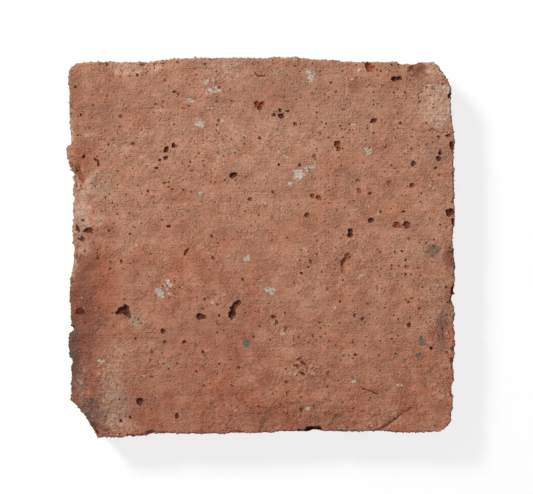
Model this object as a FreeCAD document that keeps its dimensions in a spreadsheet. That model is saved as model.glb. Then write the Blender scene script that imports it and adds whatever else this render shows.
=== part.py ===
# Reclaimed handmade floor tile: one slab of terracotta, pressed in a wooden form, struck
# level across its open face, dried and fired. Millimetres.
#
# Frame: the origin is the middle of the underside, +Z points up through the walking face,
# +X runs along the longer side and +Y towards the back. The form's four sides are the
# lines x = -length/2 (left), x = +length/2 (right), y = -width/2 (front) and
# y = +width/2 (back), and every place near a side is measured from it.
import FreeCAD, Part
import os
import sys

import Sketcher

TILE = {
    "tile_length": 200.0,
    "tile_width": 197.0,
    "tile_thickness": 22.0,
    "side_draft": 2.0,  # degrees that the sides lean in towards the underside
    "walking_arris": 1.6,  # rounding of the edge that feet have rubbed
    "bed_arris": 0.8,
    "sound_corner_left": 6.0,  # back left, seen from above
    "sound_corner_right": 8.0,  # front right
}

# The outline of the walking face, anticlockwise from the broken front left corner.
# A corner of it is so far in from one side and so far in from another.
OUTLINE = (
    ("broken_left", "left", 1.5, "front", 19.0),
    ("broken_front", "left", 14.0, "front", 0.0),
    ("front_step_start", "left", 28.0, "front", 0.0),
    ("front_step_end", "left", 40.0, "front", 2.1),
    ("front_right", "right", 1.4, "front", 3.5),
    ("right_lower", "right", 0.0, "front", 40.0),
    ("right_upper", "right", 0.0, "back", 37.0),
    ("worn_low", "right", 1.7, "back", 20.0),
    ("worn_middle", "right", 5.5, "back", 9.0),
    ("worn_high", "right", 11.0, "back", 2.8),
    ("back_dip", "right", 60.0, "back", 2.0),
    ("back_right_end", "right", 78.0, "back", 0.0),
    ("back_left_end", "left", 54.0, "back", 0.0),
    ("back_step", "left", 42.0, "back", 2.4),
    ("back_left", "left", 0.0, "back", 3.2),
    ("left_upper", "left", 0.0, "back", 40.0),
)
ROUNDED_CORNERS = (
    ("back_left", "sound_corner_left"),
    ("front_right", "sound_corner_right"),
)

# Hollows in the walking face: length, width and depth of the scoop, the turn of its
# length from +X in degrees, and where its middle lies. A hollow in the open field is
# placed from the middle of the tile, one beside a side from that side.
HOLLOWS = (
    # rubbed and spalled edges
    ("rubbed_left_edge", 6.4, 76.0, 20.0, 0.0, "left", 1.0, "middle", 22.0),
    ("spalled_back_edge", 33.0, 11.0, 1.3, 0.0, "left", 38.0, "back", 2.4),
    ("chipped_back_edge", 8.0, 9.0, 2.6, 0.0, "right", 19.0, "back", 5.0),
    ("flaked_corner", 22.0, 32.0, 1.1, 15.0, "right", 3.0, "back", 25.0),
    ("front_edge_nick", 7.2, 4.4, 1.8, 0.0, "middle", 27.0, "front", 4.6),
    ("right_edge_pit", 4.4, 4.2, 1.6, 0.0, "right", 2.4, "middle", 17.8),
    ("right_edge_nick", 3.2, 5.4, 1.8, 0.0, "right", 0.8, "back", 46.0),
    # burst and fallen-out grains in the field
    ("triangle_pit", 7.2, 5.6, 1.5, 35.0, "left", 29.0, "middle", -32.3),
    ("kidney_pit", 9.8, 5.4, 1.6, 58.0, "middle", -14.2, "middle", -32.3),
    ("flat_pit", 5.9, 3.4, 1.0, 8.0, "middle", -31.3, "middle", -35.7),
    ("double_pit", 5.7, 3.1, 1.3, 0.0, "right", 30.2, "back", 11.1),
    ("back_edge_pit", 4.7, 5.7, 1.4, 0.0, "right", 43.9, "back", 5.4),
    ("long_pit", 9.8, 3.8, 0.9, -6.0, "right", 27.4, "middle", 11.6),
    ("thumb_dent", 5.7, 9.3, 0.8, 0.0, "middle", 43.7, "middle", -8.5),
    ("upright_pit", 3.4, 5.2, 1.2, 0.0, "middle", 39.3, "middle", 52.7),
    ("heart_pit", 5.2, 4.1, 1.1, 0.0, "middle", -1.3, "middle", 73.7),
    ("round_pit", 4.4, 3.4, 1.2, 0.0, "middle", -14.7, "middle", 37.2),
    ("front_pit", 4.1, 3.6, 1.0, 0.0, "left", 37.2, "front", 18.9),
    ("left_edge_pit", 4.7, 2.6, 1.0, 20.0, "left", 10.3, "middle", 8.7),
)

SIDES = {
    "left": "-Sizes.tile_length / 2 + Sizes.{0}",
    "right": "Sizes.tile_length / 2 - Sizes.{0}",
    "front": "-Sizes.tile_width / 2 + Sizes.{0}",
    "back": "Sizes.tile_width / 2 - Sizes.{0}",
    "middle": "Sizes.{0}",
}
NODE = "tile_body"
ON_EDGE = 1e-4  # how near a point counts as on a corner or a level
PROBE_SHARE = 0.25  # how far down a hollow its test point lies, as a share of its depth


def add_sizes(doc):
    """Fill the sheet, one named cell for each size and each place."""
    sizes = dict(TILE)
    for name, _, from_end, _, from_face in OUTLINE:
        sizes[name + "_along"] = from_end
        sizes[name + "_across"] = from_face
    for name, length, width, depth, turn, _, along, _, across in HOLLOWS:
        sizes[name + "_length"] = length
        sizes[name + "_width"] = width
        sizes[name + "_depth"] = depth
        sizes[name + "_turn"] = turn
        sizes[name + "_along"] = along
        sizes[name + "_across"] = across
    sheet = doc.addObject("Spreadsheet::Sheet", "Sizes")
    for row, (alias, value) in enumerate(sizes.items(), start=1):
        sheet.set(f"A{row}", alias.replace("_", " "))
        sheet.set(f"B{row}", str(value))
        sheet.setAlias(f"B{row}", alias)
    doc.recompute()
    return sheet


def origin_plane(body, role):
    """Find one of the body's own three planes."""
    return next(item for item in body.Origin.OriginFeatures if item.Role == role)


def add_outline(body, sheet):
    """Draw the walking face's outline at the level of the walking face."""
    sketch = body.newObject("Sketcher::SketchObject", "WalkingFaceOutline")
    sketch.AttachmentSupport = [(origin_plane(body, "XY_Plane"), "")]
    sketch.MapMode = "FlatFace"
    sketch.setExpression("AttachmentOffset.Base.z", "Sizes.tile_thickness")
    signs = {"left": -1, "right": 1, "front": -1, "back": 1}
    corners = []
    for _, end, along, face, across in OUTLINE:
        x = signs[end] * (sheet.tile_length / 2 - along)
        y = signs[face] * (sheet.tile_width / 2 - across)
        corners.append(FreeCAD.Vector(x, y, 0))
    for start, stop in zip(corners, corners[1:] + corners[:1]):
        sketch.addGeometry(Part.LineSegment(start, stop), False)
    count = len(corners)
    for index in range(count):
        sketch.addConstraint(Sketcher.Constraint("Coincident", index, 2, (index + 1) % count, 1))
    for index, (name, end, _, face, _) in enumerate(OUTLINE):
        for kind, side, place, value in (
            ("DistanceX", end, name + "_along", corners[index].x),
            ("DistanceY", face, name + "_across", corners[index].y),
        ):
            number = sketch.addConstraint(Sketcher.Constraint(kind, -1, 1, index, 1, value))
            sketch.setExpression(f"Constraints[{number}]", SIDES[side].format(place))
    return sketch


def add_slab(body, sketch):
    """Pad the outline down to the bed, leaning in as a slab drawn from its form does."""
    slab = body.newObject("PartDesign::Pad", "Slab")
    slab.Profile = sketch
    slab.Reversed = True
    slab.setExpression("Length", "Sizes.tile_thickness")
    slab.setExpression("TaperAngle", "-Sizes.side_draft")
    return slab


def round_corner(doc, body, base, corner, radius):
    """Round one upright corner of the slab, found by where it meets the walking face."""
    doc.recompute()
    edges = []
    for number, edge in enumerate(base.Shape.Edges, start=1):
        top = max(edge.Vertexes, key=lambda vertex: vertex.Z).Point
        bottom = min(edge.Vertexes, key=lambda vertex: vertex.Z).Point
        if top.z - bottom.z > 1 and (top - corner).Length < ON_EDGE:
            edges.append(f"Edge{number}")
    fillet = body.newObject("PartDesign::Fillet", radius.title().replace("_", ""))
    fillet.Base = (base, edges)
    fillet.setExpression("Radius", "Sizes." + radius)
    return fillet


def round_arris(doc, body, base, name, level, radius):
    """Round every edge that lies wholly at one level."""
    doc.recompute()
    edges = [
        f"Edge{number}"
        for number, edge in enumerate(base.Shape.Edges, start=1)
        if abs(edge.BoundBox.ZMin - level) < ON_EDGE and abs(edge.BoundBox.ZMax - level) < ON_EDGE
    ]
    fillet = body.newObject("PartDesign::Fillet", name)
    fillet.Base = (base, edges)
    fillet.setExpression("Radius", "Sizes." + radius)
    return fillet


def add_hollow(body, hollow):
    """Scoop half an ellipsoid out of the walking face."""
    name, _, _, _, _, end, _, face, _ = hollow
    scoop = body.newObject("PartDesign::SubtractiveEllipsoid", name.title().replace("_", ""))
    scoop.Angle1 = -90
    scoop.Angle2 = 90
    scoop.Angle3 = 360
    scoop.Refine = False
    scoop.AttachmentSupport = [(origin_plane(body, "XY_Plane"), "")]
    scoop.MapMode = "FlatFace"
    scoop.setExpression("Radius1", f"Sizes.{name}_depth")
    scoop.setExpression("Radius2", f"Sizes.{name}_length / 2")
    scoop.setExpression("Radius3", f"Sizes.{name}_width / 2")
    scoop.setExpression("AttachmentOffset.Base.x", SIDES[end].format(name + "_along"))
    scoop.setExpression("AttachmentOffset.Base.y", SIDES[face].format(name + "_across"))
    scoop.setExpression("AttachmentOffset.Base.z", "Sizes.tile_thickness")
    scoop.setExpression("AttachmentOffset.Rotation.Angle", f"Sizes.{name}_turn")
    return scoop


def is_clay(body, scoop):
    """Say whether there is clay a little under the middle of a hollow's mouth."""
    probe = scoop.Placement.Base - FreeCAD.Vector(0, 0, PROBE_SHARE * scoop.Radius1.Value)
    return body.Shape.isInside(probe, ON_EDGE, False)


def check_document(doc, body):
    """Stop before anything is written if a feature failed or the solid isn't sound."""
    for item in doc.Objects:
        if {"Invalid", "Error"} & set(item.State):
            sys.exit(f"{item.Name} failed: {item.State}")
    shape = body.Shape
    if shape.isNull() or not shape.isValid() or len(shape.Solids) != 1:
        sys.exit(f"{body.Label} is not one sound solid")


def main():
    doc = FreeCAD.newDocument("TerracottaTile")
    sheet = add_sizes(doc)
    body = doc.addObject("PartDesign::Body", "TileBody")
    body.Label = NODE
    body.Placement = FreeCAD.Placement()

    outline = add_outline(body, sheet)
    solid = add_slab(body, outline)
    doc.recompute()
    names = [entry[0] for entry in OUTLINE]
    for corner, radius in ROUNDED_CORNERS:
        line = outline.Geometry[names.index(corner)]
        top = FreeCAD.Vector(line.StartPoint.x, line.StartPoint.y, sheet.tile_thickness)
        solid = round_corner(doc, body, solid, top, radius)
    solid = round_arris(doc, body, solid, "BedArris", 0.0, "bed_arris")
    solid = round_arris(doc, body, solid, "WalkingArris", sheet.tile_thickness, "walking_arris")

    doc.recompute()
    slab_volume = body.Shape.Volume
    scoops = [add_hollow(body, hollow) for hollow in HOLLOWS]
    doc.recompute()
    for scoop in scoops:
        if is_clay(body, scoop):
            sys.exit(f"{scoop.Label} takes no clay away")

    check_document(doc, body)
    os.makedirs("parts", exist_ok=True)
    body.Shape.exportStep(os.path.join("parts", NODE + ".step"))
    box = body.Shape.optimalBoundingBox()
    print(f"{NODE}: {box.XLength:.2f} x {box.YLength:.2f} x {box.ZLength:.2f} mm")
    print(f"from x {box.XMin:.2f}, y {box.YMin:.2f}, z {box.ZMin:.2f}")
    print(f"volume {body.Shape.Volume / 1000:.1f} cm3, {slab_volume / 1000:.1f} cm3 before wear")


main()
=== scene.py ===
"""Finish and setting of a reclaimed handmade terracotta floor tile.

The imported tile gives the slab's size and place. This script models the same slab again as
one dense mesh with its worn outline, burst pits, pinholes, cracks and old mortar, gives it
a fired clay finish, and lays it on a pale studio floor under soft light.

Sizes in the classes are in millimetres from the middle of the tile, +X to the right and +Y
to the back, and they become metres when a mesh is written.
"""

import functools
import logging
import math
import random
from dataclasses import dataclass, field
from enum import Enum

import bmesh
import bpy
import numpy as np
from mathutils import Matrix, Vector, noise


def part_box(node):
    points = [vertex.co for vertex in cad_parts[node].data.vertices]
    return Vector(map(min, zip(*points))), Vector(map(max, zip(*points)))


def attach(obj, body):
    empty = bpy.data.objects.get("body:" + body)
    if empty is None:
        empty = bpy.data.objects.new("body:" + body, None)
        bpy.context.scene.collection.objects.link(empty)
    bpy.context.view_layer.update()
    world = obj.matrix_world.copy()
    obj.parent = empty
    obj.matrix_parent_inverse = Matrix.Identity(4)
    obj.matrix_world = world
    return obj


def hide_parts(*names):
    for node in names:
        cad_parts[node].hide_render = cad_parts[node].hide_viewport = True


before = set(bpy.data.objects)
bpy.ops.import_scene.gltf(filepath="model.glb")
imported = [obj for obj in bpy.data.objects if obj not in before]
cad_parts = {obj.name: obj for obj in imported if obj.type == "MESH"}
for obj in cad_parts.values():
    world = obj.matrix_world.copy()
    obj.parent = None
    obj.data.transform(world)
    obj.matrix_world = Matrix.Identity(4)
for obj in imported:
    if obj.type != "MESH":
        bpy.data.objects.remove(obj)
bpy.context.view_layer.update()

NODE = "tile_body"
SLOT = "terracotta"
BODY = "root"
MM = 0.001
# A vertex this near a plane of the block lies on it, in millimetres.
ON_PLANE = 0.01
# The range that most of a noise texture's values lie in.
NOISE_RANGE = (0.25, 0.75)
# Noises that are added up, each as height, size across and seed.
Waves = tuple[tuple[float, float, float], ...]

log = logging.getLogger("tile")


class Mark(Enum):
    """What a place on the clay carries, each stored as one attribute of the mesh."""

    STRUCK = "struck_face"
    # painted shade in the hollows (pits, pinholes, chips, side pocks and cracks), and the dark clay
    # inside the pits
    HOLLOW_SHADE = "hollow_shade"
    RUST = "rust"
    BURNT = "burnt"
    SOOT = "soot"
    PALE = "pale"
    SALLOW = "sallow"
    LIME = "lime"
    STONE = "stone"
    MORTAR = "mortar"
    ROUGH = "rough"
    EMBER = "ember"


@dataclass(frozen=True)
class Corner:
    """One corner of the outline: how far it reaches along each side, and how full it is.

    A fullness of 2 is a round corner, 1 a straight one, and under 1 a hollow break.
    """

    right: bool
    back: bool
    along: float
    across: float
    fullness: float


@dataclass(frozen=True)
class Spot:
    """An ellipse on the face: its middle, its two sizes across and its turn from +X."""

    x: float
    y: float
    length: float
    width: float
    turn: float

    def measure(self, places: np.ndarray, grown: float = 0.0) -> np.ndarray:
        """Measure places against the ellipse: 0 at its middle, 1 on its edge.

        Args:
            places: points in millimetres, one a row.
            grown: how much wider the ellipse is taken, all round.

        Returns:
            One value for each place.
        """
        angle = math.radians(self.turn)
        dx, dy = places[:, 0] - self.x, places[:, 1] - self.y
        along = dx * math.cos(angle) + dy * math.sin(angle)
        across = dy * math.cos(angle) - dx * math.sin(angle)
        length, width = self.length + 2 * grown, self.width + 2 * grown
        return np.hypot(along / (length / 2), across / (width / 2))


@dataclass(frozen=True)
class Pit(Spot):
    """A hollow where a grain burst or fell out of the face.

    Inside it is painted dark, as shade and partly as its dark clay, and rust-red, each from 0 to 1.
    """

    depth: float
    dark: float = 1.0
    rust: float = 0.0


@dataclass(frozen=True)
class Patch(Spot):
    """A stain, a fleck or a pebble: a spot of one mark.

    Its strength is the mark's value in the middle. Its edge is as wide as its softness says and
    as ragged, in coarse lobes or, where it is fine, in fine ones only.
    """

    strength: float
    softness: float
    ragged: float = 0.3
    mark: Mark = field(kw_only=True)
    fine: bool = field(kw_only=True)


@dataclass(frozen=True)
class Flake(Spot):
    """A place where a thin skin of clay has spalled away, down to a ragged step."""

    depth: float
    ragged: float = 0.35


@dataclass(frozen=True)
class Lump:
    """Old mortar or clay that still clings to a side and stands proud of it.

    Its side is right or left by right, 1 or -1, or else back or front by back.
    """

    right: int
    back: int
    place: float
    reach: float
    height: float
    proud: float


@dataclass(frozen=True)
class Groove:
    """A crack, a scratch or the foot of a flake, along a few points.

    The face to the right of its way is lowered by its ledge, and its dark is shade painted along
    it.
    """

    points: tuple[tuple[float, float], ...]
    width: float
    depth: float
    dark: float = 0.6
    ledge: float = 0.0


CORNERS = (
    Corner(right=False, back=True, along=5.0, across=5.5, fullness=1.7),
    Corner(right=True, back=True, along=10.0, across=16.0, fullness=1.3),
    Corner(right=True, back=False, along=9.0, across=8.0, fullness=2.0),
    Corner(right=False, back=False, along=14.8, across=19.4, fullness=0.85),
)

# How far each side has worn in, at places along it.
LEFT_WEAR = (
    (-98, 1.4), (-78, 1.4), (-70, 1.7), (-62, 1.4), (-59, 2.6), (-56, 0.6), (-50, 0.1),
    (-45, 0.4), (-42, 2.7), (-40, 1.5), (-34, 1.3), (-25, 0.7), (-15, 1.6), (-10, 2.5),
    (0, 3.2), (6, 4.0), (15, 3.8), (25, 4.0), (30, 4.6), (34, 5.1), (38, 4.1), (41, 2.9),
    (45, 2.2), (50, 1.7), (60, 1.3), (66, 1.0), (75, 0.7), (90, 0.2), (98, 0.6),
)
RIGHT_WEAR = (
    (-98, 2.4), (-89, 1.9), (-82, 1.1), (-77, 0.8), (-75, 1.7), (-72, 1.7), (-68, 0.3),
    (-64, 0.6), (-61, 1.1), (-56, 0.2), (-44, 0.0), (-41, 0.7), (-34, 0.0), (-31, 0.2),
    (-27, 1.8), (-22, 0.6), (-19, 0.2), (-8, 0.2), (4, 0.9), (9, 0.6), (13, 0.0), (24, 0.1),
    (48, 0.4), (54, 0.0), (60, 0.5), (66, 1.6), (80, 1.9), (98, 2.6),
)
BACK_WEAR = (
    (-100, 3.4), (-92, 2.9), (-88, 2.6), (-58, 2.5), (-51, 1.6), (-45, 0.6), (-20, 0.2),
    (20, 0.4), (28, 1.2), (38, 1.4), (42, 2.3), (68, 2.3), (73, 3.6), (78, 3.9), (82, 2.8),
    (88, 2.6), (100, 2.6),
)
FRONT_WEAR = (
    (-100, 0.2), (-73, 0.2), (-69, 1.3), (-60, 1.5), (-56, 2.3), (-20, 2.3), (-14, 2.8),
    (4, 2.8), (8, 3.5), (24, 3.6), (27, 4.4), (31, 3.6), (64, 3.6), (70, 2.8), (80, 2.8),
    (86, 3.2), (100, 3.6),
)

# The pits: middle, length, width, turn, depth, and how much shade is painted inside them, partly as
# their dark clay, and how rust-red they are inside.
PITS = tuple(Pit(*row) for row in (
    # the large burst grains
    (-72.4, -32.5, 6.2, 3, 32, 1.8), (-70.3, -31.6, 3.6, 3.8, 60, 2),
    (-70, -33.4, 4, 3.4, -40, 1.7, 0.9), (-68.6, -35, 3.6, 2.2, -60, 1.2, 0.75),
    (-12.8, -29.2, 5.4, 3, 44, 1.5, 0.8, 0.3), (-14.8, -31.4, 3.2, 2.8, 60, 1.5, 0.9, 0.2),
    (-15.3, -34.5, 5, 3.9, 78, 1.9), (-31.9, -35.6, 3.6, 3.2, 10, 1.3, 1, 0.1),
    (-29.6, -36, 2.6, 2.4, -15, 1, 0.8, 0.4), (68.6, 87.2, 3, 2.8, 10, 1.5, 1, 0.1),
    (71.2, 87.6, 3, 2.4, -10, 1.3, 1, 0.2), (55.4, 93.4, 3.4, 5.2, 10, 1.6, 0.7, 0.7),
    (57.3, 92.2, 2.4, 3.2, 0, 1, 0.3, 0.8), (70, 11.6, 3.6, 3.4, 20, 1.1, 0.7, 0.7),
    (75.2, 11.8, 4.2, 3.6, -10, 1.2, 0.8, 0.5), (72.6, 10.6, 3, 2, 0, 0.6, 0.4, 0.3),
    (43.8, -8.8, 9.4, 5.4, 76, 1.7, 0.1, 0.35), (42.4, -7.4, 5.4, 2.6, 68, 1.9, 0.5),
    (44.2, -3.8, 3, 1.6, 30, 0.8, 0.6), (39.2, 53.4, 3.4, 3.6, 0, 1.3, 0.8, 0.6),
    (39.8, 51, 2.4, 2.6, 0, 1, 0.8, 0.5), (-2.4, 74.2, 2.8, 3.2, 20, 1.1, 0.8, 0.8),
    (0.2, 74, 2.8, 3.2, -20, 1.1, 0.7, 0.9), (-1, 72.2, 2.4, 2.6, 0, 1, 0.9, 0.5),
    (10.2, 68, 3.4, 2.6, -20, 1.1, 0.9, 0.2), (9.6, 71, 1.8, 2, 0, 0.8),
    (13.6, 70.6, 2, 1.2, 15, 0.6, 0.9, 0.1), (45.9, 8.6, 2.6, 2.6, 0, 1.6),
    (45.8, 6.4, 2.6, 2.8, 0, 1.4, 1, 0.1), (-14.8, 37.3, 3.8, 2.8, 20, 1.4, 1, 0.2),
    (-13.4, 37.9, 2, 2, 0, 1, 1, 0.2), (-62.8, -79.6, 3.6, 3.4, 20, 1.4, 1, 0.1),
    # beside the sides
    (-89.6, 8.9, 5, 2.8, 10, 1.1, 0.85), (-93, 4.2, 2.8, 3.4, -25, 1.2, 1, 0.1),
    (-96.4, 36.4, 1.8, 4.6, 20, 1.6, 0.8), (-94.3, 1, 2.2, 2.2, 0, 0.6, 0.6, 0.4),
    (-95.4, 10.2, 2, 5.4, 28, 1.4, 0.9), (-93.9, -33, 4.4, 3.8, 10, 0.8, 0.7),
    (25.2, -93.9, 6, 3.6, 8, 3.6), (29.2, -94, 4.6, 3.2, -10, 3),
    (19.4, -94.6, 2.2, 2, 0, 1.8, 1, 0.1), (92.3, 48.9, 1.8, 2.4, -15, 1.2),
    (91.5, 46, 2.6, 3, 20, 1, 0.9), (98.6, 52.4, 2.4, 5.4, 15, 1.6, 0.9, 0.4),
    (96.4, 57.8, 2.6, 2, 10, 0.9, 0.8, 0.2), (91.6, 57.2, 1.7, 1.2, 0, 0.7, 0.9, 0.1),
    (97.3, 18.2, 4.2, 4.2, 0, 1.6, 0.9, 0.1), (99.2, 13.4, 2, 3.6, 0, 1.2, 0.8, 0.1),
    (98.8, -22, 2.2, 4.6, -10, 1.6, 0.9, 0.2), (95.6, -20.6, 1.6, 1.6, 0, 0.8, 0.7, 0.6),
    (97.4, 78.6, 2, 3.4, -20, 1.2, 0.9, 0.1),
    # smaller ones in the field
    (57.9, 65.5, 3.6, 2.2, 24, 1, 0.9, 0.1), (78.5, 43.4, 2.2, 3.2, -25, 0.8, 0.8),
    (77.8, 32.1, 2.6, 2.4, 0, 1, 0.7, 0.6), (56.6, 14.2, 3, 2.6, 30, 1.1, 0.9, 0.1),
    (26.4, 26.6, 2.6, 2.2, 30, 0.8, 0.7, 0.6), (29.6, 25.8, 3, 2.4, -20, 0.9, 0.7, 0.7),
    (23.5, 16.8, 2.8, 2.4, 10, 0.9, 0.7, 0.4), (-50.9, -43.2, 2.6, 2.4, 30, 1, 0.8, 0.3),
    (-45.4, 52.7, 2.2, 2.6, 15, 1.3, 1, 0.1), (-49.2, 50.8, 2.2, 3.4, -30, 1.4, 1, 0.1),
    (-49.5, 46.3, 2.5, 2, 20, 1, 0.9, 0.2), (-52.5, 45.2, 1.7, 1.4, 0, 0.8, 0.9, 0.2),
    (-54, 41.1, 1.4, 1.4, 0, 0.7, 0.9, 0.1), (-43.7, -87.1, 2.2, 2.8, 10, 1, 0.9, 0.2),
    (-91.8, 47, 1.9, 1.8, 0, 1.2), (-85.6, 45.4, 2.2, 1.2, -30, 0.9),
    (-84.3, 43.4, 1.3, 3.2, 8, 0.9), (-38.8, -2.2, 1.7, 4.4, -32, 0.8, 0.7, 0.3),
    (-47.8, 10.9, 2.2, 1.6, 0, 0.8, 0.9, 0.2), (76.3, -40.1, 2.2, 2.3, 0, 0.7, 0.9),
    (87.8, -52.1, 1.8, 1.8, 0, 1.4), (9, 42.9, 1.4, 1.4, 0, 1), (20.7, -13.2, 1.5, 1.4, 0, 0.9),
    (56.1, 27.9, 2.2, 1.4, 20, 0.7, 0.8, 0.1), (73.2, 18.6, 2.2, 1.2, 10, 0.6, 0.8),
    (92, 37.5, 2, 1.6, 10, 0.7, 0.6, 0.6), (90.2, 41.1, 2, 1.5, 25, 0.7, 0.7, 0.4),
    (-49.9, 33.3, 2.4, 1.4, 10, 0.5, 0.3, 0.9), (19.4, -57.6, 2.6, 1.3, 30, 0.7, 0.7, 0.2),
    (21.6, -59.8, 2.8, 1.4, -30, 0.8, 0.8, 0.2), (18.8, -61.6, 1.8, 2.4, 20, 0.7, 0.6, 0.4),
    (23.8, -62.4, 1.8, 1.8, 0, 0.6, 0.5, 0.3), (21.4, -65.2, 2.6, 1.4, -20, 0.7, 0.8, 0.1),
    (28.6, -63.6, 3.4, 3, 20, 0.7, 0.3, 0.2), (6.3, -35.8, 2.8, 1.4, 0, 0.8, 0.9, 0.2),
    (8, -38.6, 1.6, 2.6, 20, 0.8, 0.8, 0.3), (12.8, -42.2, 1.6, 2.6, -30, 0.6, 0.4, 0.3),
    (-46, 30, 1.6, 1.6, 0, 0.6, 0.4, 0.8), (50.6, 29.4, 3.4, 2, -60, 0.7, 0.5, 0.7),
    (66, 33, 2.6, 3.2, 20, 0.6, 0.3, 0.6), (50, 34.6, 2.4, 1.8, 0, 0.6, 0.5, 0.2),
))

# Pinholes that stand out, as places only: their sizes are drawn.
PINHOLES = (
    (-54.7, 74.2), (-45.0, 80.5), (-45.2, 63.7), (-22.8, 63.3), (-66.2, 53.6), (-79.1, 53.3),
    (-93.3, 68.5), (-96.1, 83.0), (-79.6, 78.3), (-72.8, 67.5), (-64.1, 89.2), (-18.9, 34.9),
    (-5.9, 25.1), (-25.6, 5.9), (-22.5, 2.3), (-68.0, 17.3), (-68.0, 7.0), (-29.2, 95.0),
    (-4.4, 94.9), (17.3, 93.8), (17.3, 63.8), (6.5, 68.5), (35.9, 85.3), (70.6, 61.8),
    (71.9, 64.2), (54.9, 61.6), (87.1, 14.9), (69.0, -2.3), (72.6, -1.8), (-70.8, -26.8),
    (-72.6, -89.7), (-67.8, -87.9), (-65.0, -47.2), (-39.9, -48.9), (-22.7, -44.0),
    (-3.9, -46.1), (-9.6, -16.5), (-78.1, -10.9), (-81.6, -15.1), (-72.4, -7.3), (-25.1, -5.4),
    (-11.6, -62.0), (-21.8, -60.2), (-30.2, -54.0), (-47.8, -62.8), (7.2, -39.8), (6.2, -35.4),
    (28.7, -3.4), (25.4, -7.2), (67.5, -47.1), (52.3, -36.8), (48.6, -55.6), (30.1, -38.8),
)

# Where a thin skin of clay has come away from the face.
FLAKES = (
    Flake(-71, 95, 20, 11.5, 0, 1.1),
    Flake(-55, 96, 17, 8, 4, 0.9),
    Flake(-98, 36, 14, 14, 20, 1.6, 0.25),
    Flake(-93.4, 36.6, 9, 2.8, -58, 0.9, 0.2),
    Flake(81.5, 93.5, 11, 12, 20, 1.2, 0.3),
    Flake(101, -5, 9, 11, 0, 0.9),
    Flake(101, -26, 7, 9, 0, 0.9),
    Flake(26, -97.5, 22, 8, 4, 1.1, 0.3),
    Flake(-84, -95.5, 16, 7, -18, 0.9, 0.3),
    Flake(61, -97, 12, 5, 10, 0.7),
    Flake(4, -90, 9, 14, -12, 0.65, 0.45),
    Flake(16, -84, 12, 8, 30, 0.55, 0.45),
    Flake(41, -90, 13, 9, -25, 0.55, 0.45),
    Flake(26, -60.5, 10, 8, -30, 0.25, 0.5),
    Flake(8, -40, 7, 9, 10, 0.3, 0.5),
    Flake(-96, 4, 7, 14, 10, 0.8),
    Flake(-47, -21.5, 9, 6, 20, 0.25),
    Flake(-60, -40, 13, 6, -38, 0.3),
    Flake(20, 38.5, 8, 7, 30, 0.2),
)

# Old mortar on the sides, where some of it shows past the outline.
LUMPS = (
    Lump(-1, 0, 47.0, 6.5, 12.0, 2.8),
    Lump(-1, 0, 34.0, 6.0, 12.0, 2.1),
    Lump(-1, 0, 22.0, 8.0, 12.0, 1.4),
    Lump(-1, 0, 8.0, 7.0, 13.0, 1.7),
    Lump(-1, 0, 65.0, 6.0, 12.0, 0.7),
    Lump(-1, 0, -17.0, 2.5, 12.0, 1.0),
    Lump(0, 1, 8.0, 5.0, 12.0, 0.9),
    Lump(0, 1, 17.0, 6.0, 11.0, 0.9),
    Lump(0, -1, -66.0, 5.0, 12.0, 0.8),
)

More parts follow.
